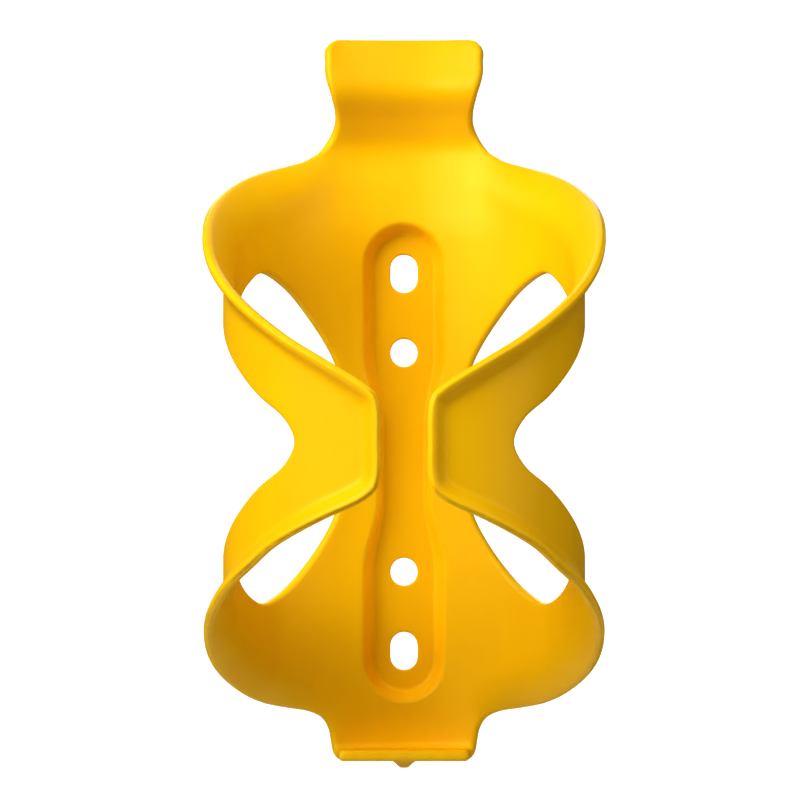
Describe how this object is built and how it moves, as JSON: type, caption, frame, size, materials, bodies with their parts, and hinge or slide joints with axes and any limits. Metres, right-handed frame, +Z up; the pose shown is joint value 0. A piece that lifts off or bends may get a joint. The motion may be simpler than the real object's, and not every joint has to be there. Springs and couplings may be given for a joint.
{
  "type": "bicycle bottle cage",
  "caption": "One-piece moulded bicycle bottle cage with a recessed bolt channel, two windowed wings with flared tips, a hooked top tab and a bottle ledge.",
  "frame": {"origin": "on the rear face of the mounting channel, halfway between the upper and the lower bolt holes, on the middle line", "axes": "+Y out of the rear face towards the bicycle frame, +Z up along the bottle, +X to the right seen from the front"},
  "size_m": [0.085, 0.0828, 0.1556],
  "materials": {
    "cage_plastic": "semi-gloss moulded plastic"
  },
  "bodies": {
    "back": {"back_plate": "cage_plastic"},
    "left_arm": {"left_wing": "cage_plastic"},
    "right_arm": {"right_wing": "cage_plastic"},
    "tab": {"top_tab": "cage_plastic"}
  },
  "joints": [
    {"name": "left_wing_flex", "type": "hinge", "parent": "back", "child": "left_arm", "pos_m": [-0.01807, -0.00811, 0.0048], "axis": [0, 0, -1], "range_deg": [0, 4], "stiffness_Nm_per_rad": 18},
    {"name": "right_wing_flex", "type": "hinge", "parent": "back", "child": "right_arm", "pos_m": [0.01807, -0.00811, 0.0048], "axis": [0, 0, 1], "range_deg": [0, 4], "stiffness_Nm_per_rad": 18},
    {"name": "top_tab_flex", "type": "hinge", "parent": "back", "child": "tab", "pos_m": [0, -0.0019, 0.0655], "axis": [-1, 0, 0], "range_deg": [0, 7], "stiffness_Nm_per_rad": 4}
  ]
}
